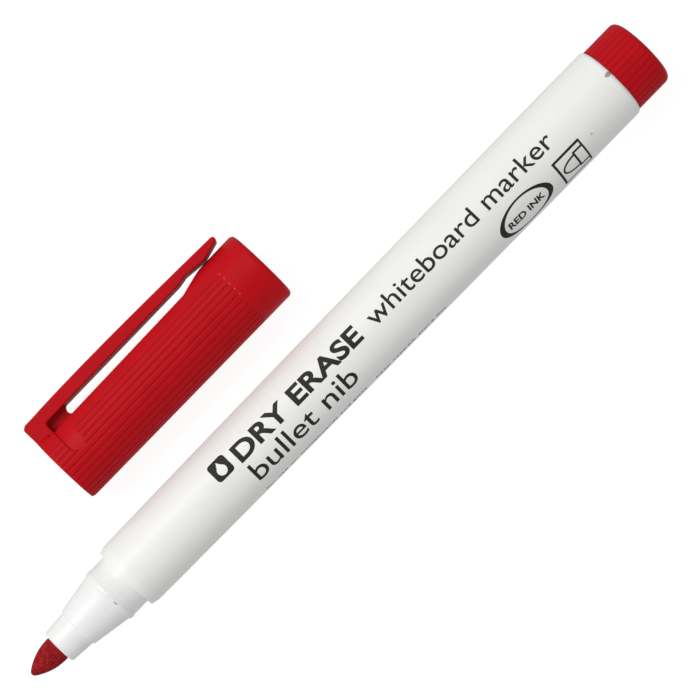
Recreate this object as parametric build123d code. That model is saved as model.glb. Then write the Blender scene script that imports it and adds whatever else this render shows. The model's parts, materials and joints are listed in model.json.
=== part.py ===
from build123d import *
import os
from math import atan2, cos, degrees, hypot, radians, sin, sqrt

# A slim bullet-tip whiteboard marker with its cap off, in millimetres.
# The pen is turned about the X axis: its writing tip is at x = 0 and its rear end at x = pen_length.
# The cap is built about its own axis, with u from its closed end to its mouth, v towards the clip
# and w across the clip, and is then laid beside the pen.

# Pen, stations along its axis from the writing tip
pen_length = 124.0
barrel_front = 18.95
nose_chamfer = 1.15
nose_run = 1.0
barrel_rear = 117.75
straight_length = 13.5
sleeve_front = 5.40
sleeve_rear = 9.20
cone_front = 9.34
cone_rear = 15.13
bead_rear = 16.2
lip_rear = 21.0
holder_rear = 27.0
reservoir_front = 27.1
reservoir_rear = 108.0
nib_rear = 31.0
plug_front = 109.5

# Pen, radii
barrel_front_radius = 5.18
nose_radius = 5.44
barrel_nose_radius = 5.47
barrel_radius = 6.0
barrel_rear_round = 0.7
# Taper of the barrel, as shares of its length and of its gain in radius: it eases towards the rear
barrel_taper = [(0, 0), (0.25, 0.36), (0.5, 0.61), (0.75, 0.82), (1, 1)]
lip_bore = 4.30
seat_radius = 4.40
bead_radius = 4.49
cone_front_radius = 3.28
cone_rear_radius = 4.24
sleeve_front_radius = 2.77
sleeve_rear_radius = 3.04
sleeve_round = 0.35
neck_radius = 4.22
snap_ring_radius = 4.50
snap_ring_length = 1.5
holder_tail_radius = 4.20
bore_front = 4.76
bore_rear = 5.10
nib_radius = 2.0
nib_curve = 7.85
nib_point_round = 0.57
nib_rear_chamfer = 0.5
fibre_radius = 4.07
film_radius = 4.22
film_wall = 0.12
plug_radius = 5.66
plug_round = 0.95
spigot_radius = 5.04
spigot_bore = 4.10
spigot_lead_length = 0.6
spigot_lead_depth = 0.3
plug_end_wall = 2.2
clearance = 0.04

# Ribs that hold the nib and the reservoir, with air passages between them
guide_ribs = 4
guide_rib_width = 0.6
chamber_front = 10.0
chamber_radius = 2.9
rib_setback_front = 3.0
rib_setback_rear = 2.0
rib_bite = 0.2

# Fine grooves round the plug and the cap
groove_count = 36
groove_pitch = 360 / groove_count
cap_groove_radius = 0.20
cap_groove_depth = 0.16
plug_groove_radius = 0.14
plug_groove_depth = 0.09
first_cap_groove = 60.0

# Cap, stations from its closed end
cap_length = 40.45
cap_closed_radius = 5.66
cap_mouth_radius = 5.98
cap_bevel_length = 0.5
cap_bevel_depth = 0.15
cap_mouth_round = 0.7
cap_end_wall = 1.3
cap_void_radius = 3.75
cap_bore = 3.95
cap_shoulder = 17.0
cap_bore_rear = 31.5
cone_room_front = 34.0
cone_room_radius = 4.30
snap_groove_radius = 4.62
snap_groove_front = 36.3
snap_groove_rear = 37.4
snap_groove_slope = 0.1
land_radius = 4.45
mouth_chamfer = 0.4
grooves_end = 35.1

# Flat under the clip
flat_front = 2.0
flat_rear = 29.4
flat_ramp_rear = 34.2
flat_front_height = 4.47
flat_rear_height = 4.72
flat_ramp_overshoot = 0.05

# Clip, heights from the cap's axis
clip_width = 5.4
clip_root_length = 2.85
clip_root_bite = 0.5
clip_top_front = 8.18
clip_top_middle = 8.27
clip_top_rear = 7.70
clip_tip = 38.4
clip_underside = 6.25
clip_corner = 0.64
clip_tip_round = 0.8
clip_tip_drop = 0.46
clip_tip_undercut = 0.35
clip_tip_lift = 0.86
clip_heel = 35.4
clip_heel_height = 6.14
clip_bend = 29.9
clip_step = 31.4
clip_step_height = 6.50
hinge_u = 5.2
knuckle_radius = 0.97
hinge_v = clip_underside + knuckle_radius
knuckle_clearance = 0.05
clip_neck_gap = 0.5
web_width = 1.6
slot_front = 6.2
slot_round = 0.8

# Shallow moulding recess beside the clip's root
recess_length = 2.55
recess_low = -0.1
recess_depth_front = 0.36
recess_depth_rear = 0.08

# Liner that closes round the nib holder's sleeve
liner_front = 17.05
liner_rear = 30.5
liner_floor = 1.1
liner_ring_length = 1.3
liner_ring_radius = 3.90
liner_wall_radius = 3.60
liner_bore = 3.15
liner_mouth_flare = 0.25
liner_mouth_chamfer = 0.5

# Where the cap lies beside the pen
cap_x = 23.85
cap_y = 17.0
cap_turn = degrees(atan2(0.38, cap_length))


def turned(*edges):
    """Solid of revolution about X from edges that close an outline of (x, radius) points."""
    return revolve(make_face(Wire(edges)), Axis.X)


def turned_outline(*points):
    """Solid of revolution about X from straight runs between (x, radius) points."""
    return revolve(make_face(Polyline(*points, close=True)), Axis.X)


def tube(x_front, x_rear, outer, inner):
    return turned_outline((x_front, inner), (x_front, outer), (x_rear, outer), (x_rear, inner))


def guides(x_front, x_rear, inner, outer, first_angle):
    """Straight ribs along the pen's axis, spaced evenly round it."""
    length = x_rear - x_front
    rib = Pos((x_front + x_rear) / 2, (inner + outer) / 2, 0) * Box(length, outer - inner, guide_rib_width)
    return [Rot(first_angle + i * 360 / guide_ribs, 0, 0) * rib for i in range(guide_ribs)]


def groove_cutter(x_front, x_rear, front_radius, rear_radius, cutter_radius, depth):
    """Round-bottomed cutter that follows a tapered wall at the top of the part, towards +Y."""
    rise = rear_radius - front_radius
    length = hypot(x_rear - x_front, rise)
    start = Vector(x_front, front_radius + cutter_radius - depth, 0)
    along = Plane(origin=start, z_dir=(x_rear - x_front, rise, 0))
    return extrude(along * Circle(cutter_radius), length)


def cap_radius(u):
    return cap_closed_radius + (cap_mouth_radius - cap_closed_radius) * u / cap_length


def barrel():
    """Tapered tube with a lip in front, guide ribs inside and a socket for the plug."""
    nose = barrel_front + nose_chamfer
    shoulder = nose + nose_run
    straight = barrel_rear - straight_length
    gain = barrel_radius - barrel_nose_radius
    taper = [(shoulder + share * (straight - shoulder), barrel_nose_radius + rise * gain)
             for share, rise in barrel_taper]
    outside = turned(
        Line((barrel_front, 0), (barrel_front, barrel_front_radius)),
        Line((barrel_front, barrel_front_radius), (nose, nose_radius)),
        Line((nose, nose_radius), (shoulder, barrel_nose_radius)),
        *[Line(start, end) for start, end in zip(taper, taper[1:])],
        Line((straight, barrel_radius), (barrel_rear - barrel_rear_round, barrel_radius)),
        RadiusArc((barrel_rear - barrel_rear_round, barrel_radius),
                  (barrel_rear, barrel_radius - barrel_rear_round), barrel_rear_round),
        Line((barrel_rear, barrel_radius - barrel_rear_round), (barrel_rear, 0)),
        Line((barrel_rear, 0), (barrel_front, 0)),
    )
    hollow = turned_outline(
        (barrel_front - 1, 0), (barrel_front - 1, lip_bore), (lip_rear, lip_bore), (lip_rear, bore_front),
        (plug_front, bore_rear), (barrel_rear + 1, bore_rear), (barrel_rear + 1, 0),
    )
    ribs = guides(reservoir_front + rib_setback_front, reservoir_rear - rib_setback_rear,
                  film_radius + clearance, bore_rear + rib_bite, 45)
    return outside - hollow + ribs


def nib_holder():
    """Sleeve, cone, snap bead and cap seat, then a neck whose snap ring clicks in behind the lip."""
    bead_middle = (cone_rear + bead_rear) / 2
    ring_front = lip_rear + clearance
    ring_rear = ring_front + snap_ring_length
    outside = turned(
        Line((sleeve_front, 0), (sleeve_front, sleeve_front_radius - sleeve_round)),
        RadiusArc((sleeve_front, sleeve_front_radius - sleeve_round),
                  (sleeve_front + sleeve_round, sleeve_front_radius), sleeve_round),
        Line((sleeve_front + sleeve_round, sleeve_front_radius), (sleeve_rear, sleeve_rear_radius)),
        Line((sleeve_rear, sleeve_rear_radius), (cone_front, cone_front_radius)),
        Line((cone_front, cone_front_radius), (cone_rear, cone_rear_radius)),
        ThreePointArc((cone_rear, cone_rear_radius), (bead_middle, bead_radius), (bead_rear, seat_radius)),
        Line((bead_rear, seat_radius), (barrel_front, seat_radius)),
        Line((barrel_front, seat_radius), (barrel_front, neck_radius)),
        Line((barrel_front, neck_radius), (ring_front, neck_radius)),
        Line((ring_front, neck_radius), (ring_front, snap_ring_radius)),
        Line((ring_front, snap_ring_radius), (ring_rear, holder_tail_radius)),
        Line((ring_rear, holder_tail_radius), (holder_rear, holder_tail_radius)),
        Line((holder_rear, holder_tail_radius), (holder_rear, 0)),
        Line((holder_rear, 0), (sleeve_front, 0)),
    )
    nib_bore = nib_radius + clearance
    hollow = turned_outline(
        (sleeve_front - 1, 0), (sleeve_front - 1, nib_bore), (chamber_front, nib_bore),
        (chamber_front + 1, chamber_radius), (holder_rear + 1, chamber_radius), (holder_rear + 1, 0),
    )
    ribs = guides(chamber_front, holder_rear, nib_bore, chamber_radius + rib_bite, 0)
    return outside - hollow + ribs


def nib():
    """Fibre rod whose point is an ogive, closed by a small round at its very end."""
    centre_drop = nib_curve - nib_radius
    curve_start = nib_point_round + sqrt((nib_curve - nib_point_round) ** 2 - centre_drop ** 2)
    reach = hypot(curve_start - nib_point_round, centre_drop)
    join_x = curve_start - nib_curve * (curve_start - nib_point_round) / reach
    join_r = nib_curve * centre_drop / reach - centre_drop
    turn = radians(45)
    return turned(
        ThreePointArc(
            (0, 0),
            (nib_point_round - nib_point_round * cos(turn), nib_point_round * sin(turn)),
            (join_x, join_r),
        ),
        RadiusArc((join_x, join_r), (curve_start, nib_radius), nib_curve),
        Line((curve_start, nib_radius), (nib_rear - nib_rear_chamfer, nib_radius)),
        Line((nib_rear - nib_rear_chamfer, nib_radius), (nib_rear, nib_radius - nib_rear_chamfer)),
        Line((nib_rear, nib_radius - nib_rear_chamfer), (nib_rear, 0)),
        Line((nib_rear, 0), (0, 0)),
    )


def reservoir_fibre():
    """Ink-soaked bundle with the pocket that the nib's rear end fills."""
    pocket = nib_rear + clearance
    return turned_outline(
        (pocket, 0), (pocket, nib_radius + clearance), (reservoir_front, nib_radius + clearance),
        (reservoir_front, fibre_radius), (reservoir_rear, fibre_radius), (reservoir_rear, 0),
    )


def reservoir_film():
    return tube(reservoir_front, reservoir_rear, film_radius, film_radius - film_wall)


def rear_plug():
    """Ribbed head with a rounded rear edge, on a hollow spigot pressed into the barrel."""
    head_front = barrel_rear + clearance
    lead_rear = plug_front + spigot_lead_length
    round_start = pen_length - plug_round
    outside = turned(
        Line((plug_front, 0), (plug_front, spigot_radius - spigot_lead_depth)),
        Line((plug_front, spigot_radius - spigot_lead_depth), (lead_rear, spigot_radius)),
        Line((lead_rear, spigot_radius), (head_front, spigot_radius)),
        Line((head_front, spigot_radius), (head_front, plug_radius)),
        Line((head_front, plug_radius), (round_start, plug_radius)),
        RadiusArc((round_start, plug_radius), (pen_length, plug_radius - plug_round), plug_round),
        Line((pen_length, plug_radius - plug_round), (pen_length, 0)),
        Line((pen_length, 0), (plug_front, 0)),
    )
    hollow = turned_outline(
        (plug_front - 1, 0), (plug_front - 1, spigot_bore),
        (pen_length - plug_end_wall, spigot_bore), (pen_length - plug_end_wall, 0),
    )
    cutter = groove_cutter(head_front, pen_length, plug_radius, plug_radius,
                           plug_groove_radius, plug_groove_depth)
    grooves = [Rot(i * groove_pitch, 0, 0) * cutter for i in range(groove_count)]
    return outside - hollow - grooves


def cap_body():
    """Tapered cup with a bevelled closed end and the stepped bore behind its mouth."""
    mouth_round_u = cap_length - cap_mouth_round
    end_radius = cap_closed_radius - cap_bevel_depth
    outside = turned(
        Line((0, 0), (0, end_radius)),
        Line((0, end_radius), (cap_bevel_length, cap_radius(cap_bevel_length))),
        Line((cap_bevel_length, cap_radius(cap_bevel_length)), (mouth_round_u, cap_mouth_radius)),
        RadiusArc((mouth_round_u, cap_mouth_radius), (cap_length, cap_mouth_radius - cap_mouth_round),
                  cap_mouth_round),
        Line((cap_length, cap_mouth_radius - cap_mouth_round), (cap_length, 0)),
        Line((cap_length, 0), (0, 0)),
    )
    hollow = turned_outline(
        (cap_end_wall, 0), (cap_end_wall, cap_void_radius), (cap_shoulder, cap_void_radius),
        (cap_shoulder, cap_bore), (cap_bore_rear, cap_bore), (cone_room_front, cone_room_radius),
        (snap_groove_front, cone_room_radius), (snap_groove_front, snap_groove_radius),
        (snap_groove_rear, snap_groove_radius), (snap_groove_rear + snap_groove_slope, land_radius),
        (cap_length - mouth_chamfer, land_radius),
        (cap_length + mouth_chamfer, land_radius + 2 * mouth_chamfer), (cap_length + mouth_chamfer, 0),
    )
    return outside - hollow


def across_cap(face, width):
    """Prism across the clip, from an outline drawn in the plane of u and v."""
    return extrude(face, width / 2, both=True)


def cap_shell():
    """Cap body with its grooves, the flat under the clip, and the clip's root and web."""
    cutter = groove_cutter(-1, grooves_end, cap_radius(-1), cap_radius(grooves_end),
                           cap_groove_radius, cap_groove_depth)
    groove_total = int((360 - 2 * first_cap_groove) / groove_pitch) + 1
    grooves = [Rot(first_cap_groove + i * groove_pitch, 0, 0) * cutter for i in range(groove_total)]
    high = clip_top_middle
    flat_cut = across_cap(make_face(Polyline(
        (flat_front, flat_front_height), (flat_rear, flat_rear_height),
        (flat_ramp_rear, cap_mouth_radius + flat_ramp_overshoot), (flat_ramp_rear, high),
        (flat_front, high), close=True)),
        4 * cap_mouth_radius)
    recess_rear = clip_root_length + recess_length
    recess_outline = Pos(clip_root_length + recess_length / 2, recess_low + recess_length / 2) * (
        Circle(recess_length / 2)
        + Pos(0, flat_front_height / 2) * Rectangle(recess_length, flat_front_height)
    )
    recess_floor = turned_outline(
        (0, 0), (0, cap_radius(0) - recess_depth_front),
        (clip_root_length, cap_radius(clip_root_length) - recess_depth_front),
        (recess_rear, cap_radius(recess_rear) - recess_depth_rear), (recess_rear + 1, 0),
    )
    recess = across_cap(recess_outline, 4 * cap_mouth_radius) - recess_floor
    root_end = hinge_u - clip_neck_gap
    foot = flat_front_height - clip_root_bite
    root = across_cap(make_face(Polyline(
        (0, foot), (0, clip_top_front - 0.6 * clip_corner), (clip_corner, clip_top_front),
        (root_end, hinge_v + knuckle_radius), (root_end, clip_underside), (clip_root_length, clip_underside),
        (clip_root_length, foot), close=True)), clip_width)
    web_rear = slot_front + slot_round
    web = across_cap(make_face(Polyline(
        (clip_root_length, foot), (web_rear, foot), (web_rear, clip_underside - knuckle_clearance),
        (clip_root_length, clip_underside - knuckle_clearance), close=True)), web_width)
    slot_middle = (flat_front_height + clip_underside) / 2
    slot_end = across_cap(Pos(web_rear, slot_middle) * Circle(slot_round), clip_width)
    seat = across_cap(Pos(hinge_u, hinge_v) * Circle(knuckle_radius + knuckle_clearance), 2 * clip_width)
    return cap_body() - grooves - flat_cut - recess + (root - seat) + (web - slot_end)


def cap_clip():
    """Clip arm with the knuckle it flexes about and the heel that grips a pocket."""
    top_start = (hinge_u, hinge_v + knuckle_radius)
    top_middle = (clip_tip * 0.43, clip_top_middle)
    top_end = (clip_tip - clip_tip_round, clip_top_rear)
    tip = (clip_tip, clip_top_rear - clip_tip_drop)
    low_end = (clip_tip - clip_tip_undercut, clip_heel_height + clip_tip_lift)
    heel = (clip_heel, clip_heel_height)
    step = (clip_step, clip_step_height)
    straight_end = (clip_bend, clip_underside)
    under_knuckle = (hinge_u, clip_underside)
    arm = across_cap(make_face(Wire([
        ThreePointArc(top_start, top_middle, top_end),
        ThreePointArc(top_end, tip, low_end),
        Line(low_end, heel),
        Line(heel, step),
        Line(step, straight_end),
        Line(straight_end, under_knuckle),
        Line(under_knuckle, top_start),
    ])), clip_width)
    knuckle = across_cap(Pos(hinge_u, hinge_v) * Circle(knuckle_radius), clip_width)
    return arm + knuckle


def cap_liner():
    """Inner cup held by a ring at each end, which seals round the nib holder's sleeve."""
    front_ring = liner_front + liner_ring_length
    rear_ring = liner_rear - liner_ring_length
    return turned_outline(
        (liner_front, 0), (liner_front, liner_ring_radius), (front_ring, liner_ring_radius),
        (front_ring, liner_wall_radius), (rear_ring, liner_wall_radius), (rear_ring, liner_ring_radius),
        (liner_rear, liner_ring_radius), (liner_rear, liner_bore + liner_mouth_flare),
        (liner_rear - liner_mouth_chamfer, liner_bore),
        (liner_front + liner_floor, liner_bore), (liner_front + liner_floor, 0),
    )


def assembly():
    """Every piece in the pen's frame, with the cap laid beside the pen."""
    laid = Pos(cap_x, cap_y, 0) * Rot(0, 0, cap_turn)
    return {
        "barrel": barrel(),
        "nib_holder": nib_holder(),
        "nib": nib(),
        "reservoir_fibre": reservoir_fibre(),
        "reservoir_film": reservoir_film(),
        "rear_plug": rear_plug(),
        "cap_shell": laid * cap_shell(),
        "cap_clip": laid * cap_clip(),
        "cap_liner": laid * cap_liner(),
    }


pieces = assembly()
boxes = [piece.bounding_box() for piece in pieces.values()]
middle_x = (min(box.min.X for box in boxes) + max(box.max.X for box in boxes)) / 2
middle_y = (min(box.min.Y for box in boxes) + max(box.max.Y for box in boxes)) / 2
stand = Pos(-middle_x, -middle_y, barrel_radius)
print("origin of the pen's frame:", -middle_x, -middle_y, barrel_radius, "cap turn:", cap_turn)

os.makedirs("parts", exist_ok=True)
for name, piece in pieces.items():
    placed = stand * piece
    placed.label = name
    export_step(placed, f"parts/{name}.step")
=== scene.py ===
import json
from math import acos, atan2, cos, degrees, hypot, pi, radians, sin, sqrt

import bmesh
import bpy
from bpy.props import FloatProperty, FloatVectorProperty, IntProperty, PointerProperty
from mathutils import Matrix, Vector


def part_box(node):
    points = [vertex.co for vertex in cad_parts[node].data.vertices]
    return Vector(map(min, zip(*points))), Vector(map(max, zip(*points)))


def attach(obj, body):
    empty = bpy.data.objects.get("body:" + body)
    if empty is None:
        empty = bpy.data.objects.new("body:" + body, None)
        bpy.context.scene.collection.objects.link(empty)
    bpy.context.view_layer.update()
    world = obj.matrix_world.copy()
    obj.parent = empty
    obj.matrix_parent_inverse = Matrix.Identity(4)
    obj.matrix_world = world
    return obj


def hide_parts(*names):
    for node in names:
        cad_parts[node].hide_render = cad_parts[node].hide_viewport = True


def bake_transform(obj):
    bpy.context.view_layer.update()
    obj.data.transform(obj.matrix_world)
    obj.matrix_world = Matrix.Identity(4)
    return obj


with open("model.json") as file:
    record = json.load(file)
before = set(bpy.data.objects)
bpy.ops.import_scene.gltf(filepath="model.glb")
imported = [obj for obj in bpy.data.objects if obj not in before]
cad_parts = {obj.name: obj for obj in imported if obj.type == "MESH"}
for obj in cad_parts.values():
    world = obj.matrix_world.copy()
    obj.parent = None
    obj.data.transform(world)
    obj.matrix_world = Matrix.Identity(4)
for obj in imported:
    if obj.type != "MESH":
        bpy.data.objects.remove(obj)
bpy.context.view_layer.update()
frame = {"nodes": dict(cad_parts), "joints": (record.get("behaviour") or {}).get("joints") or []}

bl_info = {
    "name": "Whiteboard marker",
    "version": (1, 0, 0),
    "blender": (4, 5, 0),
    "location": "View3D > Sidebar > Marker",
    "description": "Builds the finished pieces of a bullet-tip whiteboard marker and its clip cap",
    "category": "Object",
}

# Outlines are drawn in millimetres: along the pen from its writing tip, or along the cap from its
# closed end, and out from the axis. A place matrix turns them into the frame's metres.
MM = 0.001


def spans(node):
    """Lowest and highest corner of a CAD node, in millimetres."""
    low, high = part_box(node)
    return low / MM, high / MM


nib_low, nib_high = spans("nib")
holder_low, holder_high = spans("nib_holder")
barrel_low, barrel_high = spans("barrel")
plug_low, plug_high = spans("rear_plug")
fibre_low, fibre_high = spans("reservoir_fibre")
liner_low, liner_high = spans("cap_liner")

# The pen
tip_x = nib_low.x
pen_length = plug_high.x - tip_x
nib_rear = nib_high.x - tip_x
nib_radius = (nib_high.y - nib_low.y) / 2
sleeve_front = holder_low.x - tip_x
holder_rear = holder_high.x - tip_x
barrel_front = barrel_low.x - tip_x
barrel_rear = barrel_high.x - tip_x
barrel_radius = (barrel_high.z - barrel_low.z) / 2
plug_front = plug_low.x - tip_x
plug_radius = (plug_high.z - plug_low.z) / 2
fibre_front = fibre_low.x - tip_x
fibre_rear = fibre_high.x - tip_x
fibre_radius = (fibre_high.z - fibre_low.z) / 2
golden_angle = 137.508
pen_axis = Vector((tip_x, (barrel_low.y + barrel_high.y) / 2, (barrel_low.z + barrel_high.z) / 2))

# The barrel: a stepped front edge, a long taper given as (share of length, share of rise), a straight end
nose_rear = barrel_front + 1.15
shoulder = nose_rear + 1.0
nose_radii = (5.18, 5.44, 5.47)
straight_front = barrel_rear - 13.5
barrel_taper = [(0, 0), (0.25, 0.36), (0.5, 0.61), (0.75, 0.82), (1, 1)]
taper_steps = 24
lip_bore = 4.30
lip_rear = 21.0
bore_radii = (4.76, 5.10)
barrel_ribs = (4.26, 5.0)
print_room = 0.022
print_depth = 0.012
guide_count = 4
guide_width = 0.6

# The nose, from the nib back
sleeve_radii = (2.77, 3.04)
sleeve_rear = 9.20
cone_front = 9.34
cone_radii = (3.28, 4.222)
bead_span = (15.13, 16.2)
bead_foot = 4.24
bead_radius = 4.49
seat_radius = 4.40
neck_radius = 4.22
flange_front = lip_rear + 0.04
flange_radius = 4.50
tail_front = flange_front + 1.5
tail_radius = 4.20
chamber_front = 10.0
chamber_radius = 2.9
nib_bore = nib_radius + 0.04
nib_curve = 7.85
nib_point_round = 0.57

# The rear plug
plug_round = 0.95
plug_head = barrel_rear + 0.01
spigot_radius = 5.04
spigot_bore = 4.10
plug_end_wall = 2.2

# The cap, which lies along the line that it slides on
draw = next(joint for joint in frame["joints"] if joint["name"] == "cap_draw")
cap_turn = atan2(-draw["axis"][1], -draw["axis"][0])
cap_length = 40.45
cap_radii = (5.66, 5.98)
cap_bevel = (0.5, 0.15)
cap_mouth_round = 0.7
cap_end_wall = 1.3
cap_void_radius = 3.75
cap_shoulder = 17.0
cap_bore = 3.95
cap_bore_rear = 31.5
cone_room = (34.0, 4.30)
snap_groove = (36.3, 37.4, 4.62)
land_radius = 4.45
mouth_chamfer = 0.4
groove_pitch = 10.0
grooves_round = 36
groove_cuts = 12
first_cap_groove = 60.0
last_cap_groove = 300.0
grooves_end = 35.1

# The liner
liner_span = (17.05, 30.5)
liner_radius = 3.90
liner_waist = 3.60
liner_bore = 3.15
liner_end_wall = 1.1
liner_collar = 1.3

# The clip, its root and the flat and recesses below it
flat_span = (2.0, 29.4)
flat_heights = (4.47, 4.72)
flat_ramp_end = 34.2
clip_half_width = 2.7
clip_edge = 0.22
clip_root = 2.85
clip_foot = flat_heights[0] - 0.3
clip_tops = (8.17, 8.26, 7.69)
clip_tip = 38.4
clip_tip_round = 0.45
clip_tip_height = 7.25
clip_underside = 6.25
clip_heel = (35.2, 6.09)
clip_hollow = (31.6, 6.50)
clip_hollow_front = 30.0
recess_span = (2.85, 5.40)
recess_low = -0.1
recess_depths = (0.36, 0.08)
web_half_width = 0.8
slot_front = 6.2
slot_round = 0.8

# Stage, in metres
floor_size = 1.6
floor_gap = 0.0002
key_place = (-0.24, 0.34, 0.55)
key_size = 0.42
view_offset = (0.00222, -0.00012)


def pen_place():
    return Matrix.Scale(MM, 4) @ Matrix.Translation(pen_axis)


def cap_origin():
    """The middle of the cap's closed end, in millimetres."""
    middle = (liner_low + liner_high) / 2
    back = (liner_span[0] + liner_span[1]) / 2
    return Vector((middle.x - back * cos(cap_turn), middle.y - back * sin(cap_turn), pen_axis.z))


def cap_place():
    return Matrix.Scale(MM, 4) @ Matrix.Translation(cap_origin()) @ Matrix.Rotation(cap_turn, 4, "Z")


# ---------------------------------------------------------------------------------------------
# Settings


def length(name, description, default, low, high):
    """A length setting, given in millimetres."""
    return FloatProperty(name=name, description=description, default=default * MM, min=low * MM,
                         max=high * MM, unit="LENGTH", precision=6)


def colour(name, description, default):
    return FloatVectorProperty(name=name, description=description, default=default, subtype="COLOR",
                               size=3, min=0, max=1)


def angle(name, description, default, low, high):
    """An angle setting, given in degrees."""
    return FloatProperty(name=name, description=description, default=radians(default), min=radians(low),
                         max=radians(high), unit="ROTATION")


class MarkerSizes(bpy.types.PropertyGroup):
    """Sizes of the marker's finished pieces that a user would change."""
    cap_groove_depth: length("Cap groove depth", "Depth of the cap's grip grooves", 0.10, 0.0, 0.3)
    cap_groove_width: length("Cap groove width", "Width of the cap's grip grooves at the surface",
                             0.56, 0.1, 0.95)
    plug_groove_depth: length("Plug groove depth", "Depth of the rear plug's grooves", 0.075, 0.0, 0.3)
    plug_groove_width: length("Plug groove width", "Width of the rear plug's grooves at the surface",
                              0.5, 0.1, 0.95)
    felt_grain: length("Felt grain", "How far the fibres of the nib stand in and out", 0.05, 0.0, 0.2)
    strand_count: IntProperty(
        name="Reservoir strands", description="Strands in the ink reservoir", default=110, min=10, max=300)
    ink_thickness: length("Print thickness", "Height of the printed ink above the barrel",
                          0.012, 0.004, 0.02)


class MarkerColours(bpy.types.PropertyGroup):
    """Colours of the marker's plastics, felt and print."""
    barrel: colour("Barrel", "White of the barrel", (0.84, 0.845, 0.82))
    holder: colour("Nose", "Cooler white of the nose that holds the nib", (0.835, 0.84, 0.83))
    red: colour("Cap and plug", "Red of the cap, the clip and the rear plug", (0.485, 0.0030, 0.0080))
    felt: colour("Nib", "Ink-soaked felt", (0.30, 0.006, 0.010))
    ink: colour("Print", "Ink of the print on the barrel", (0.020, 0.017, 0.014))
    liner: colour("Liner", "Natural plastic of the cap's liner", (0.78, 0.78, 0.74))


class MarkerStage(bpy.types.PropertyGroup):
    """Light and camera."""
    camera_distance: length("Camera distance", "From the camera to the middle of its view", 487, 100, 2000)
    view_width: length("View width", "Width of what the camera sees at the pen's axis", 99.35, 50, 500)
    lean_back: angle("Lean along the pen", "How far the camera leans towards the nib's end", 2.25, -30, 30)
    lean_side: angle("Lean across the pen", "How far the camera leans away from the cap", 2.0, -30, 30)
    pen_slope: angle("Slope of the pen", "Angle of the pen in the view, from level", 45.74, 0, 90)
    key_power: FloatProperty(
        name="Key light", description="Power of the soft light above the cap's side", default=2.75,
        min=0, max=100)
    sky: FloatProperty(
        name="Surroundings", description="Brightness of the pale surroundings", default=0.575, min=0, max=5)


# ---------------------------------------------------------------------------------------------
# Node trees, written as Python expressions


class Value:
    """A number on a node's socket, which adds Math nodes when Python operators are used on it."""

    def __init__(self, tree, socket):
        self.tree = tree
        self.socket = socket

    def __pow__(self, other):
        return self.tree.maths("POWER", self, other)

    def __mod__(self, other):
        return self.tree.maths("FLOORED_MODULO", self, other)

    def __gt__(self, other):
        return self.tree.maths("GREATER_THAN", self, other)

    def __lt__(self, other):
        return self.tree.maths("LESS_THAN", self, other)

    def __abs__(self):
        return self.tree.maths("ABSOLUTE", self)


def add_operator(name, operation):
    """Gives Value a Python operator and its reflected form."""
    setattr(Value, f"__{name}__", lambda value, other: value.tree.maths(operation, value, other))
    setattr(Value, f"__r{name}__", lambda value, other: value.tree.maths(operation, other, value))


for sign, operation in (("add", "ADD"), ("sub", "SUBTRACT"), ("mul", "MULTIPLY"), ("truediv", "DIVIDE")):
    add_operator(sign, operation)


class Tree:
    """A node tree whose nodes all come from one method."""

    def __init__(self, tree):
        self.tree = tree

    def node(self, kind, settings=None, values=None):
        """Adds a node, applies its settings, then sets or links its sockets by name or index."""
        node = self.tree.nodes.new(kind)
        for key, setting in (settings or {}).items():
            if key == "stops":
                self.set_stops(node.color_ramp, setting)
            else:
                setattr(node, key, setting)
        for key, value in (values or {}).items():
            socket = node.inputs[key]
            if isinstance(value, Value):
                self.tree.links.new(value.socket, socket)
            elif isinstance(value, bpy.types.NodeSocket):
                self.tree.links.new(value, socket)
            elif socket.type == "RGBA" and len(value) == 3:
                socket.default_value = (*value, 1.0)
            else:
                socket.default_value = value
        return node

    def set_stops(self, ramp, stops):
        for place, colour in stops[2:]:
            ramp.elements.new(place)
        for element, (place, colour) in zip(ramp.elements, stops):
            element.position = place
            element.color = (*colour, 1.0) if isinstance(colour, tuple) else (colour, colour, colour, 1.0)

    def maths(self, operation, *operands):
        values = dict(enumerate(operands))
        return Value(self, self.node("ShaderNodeMath", {"operation": operation}, values).outputs[0])

    def lowest(self, first, second):
        return self.maths("MINIMUM", first, second)

    def highest(self, first, second):
        return self.maths("MAXIMUM", first, second)

    def cosine(self, angle):
        return self.maths("COSINE", angle)

    def sine(self, angle):
        return self.maths("SINE", angle)

    def smooth(self, value, low, high):
        """0 below low and 1 above high, eased between them."""
        node = self.node("ShaderNodeMapRange", {"interpolation_type": "SMOOTHSTEP"},
                         {"Value": value, "From Min": low, "From Max": high})
        return Value(self, node.outputs[0])

    def between(self, value, low, high, blur):
        """1 inside a stretch and 0 outside it."""
        return self.smooth(value, low - blur, low + blur) * (1 - self.smooth(value, high - blur, high + blur))

    def vector(self, x, y, z):
        return self.node("ShaderNodeCombineXYZ", values={0: x, 1: y, 2: z}).outputs[0]

    def scaled(self, vector, factors):
        node = self.node("ShaderNodeVectorMath", {"operation": "MULTIPLY"}, {0: vector, 1: factors})
        return node.outputs[0]

    def noise(self, vector, scale, detail=3.0, roughness=0.55, dimensions="3D", **values):
        node = self.node("ShaderNodeTexNoise", {"noise_dimensions": dimensions},
                         {"Vector": vector, "Scale": scale, "Detail": detail, "Roughness": roughness,
                          **values})
        return Value(self, node.outputs[0])


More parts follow.
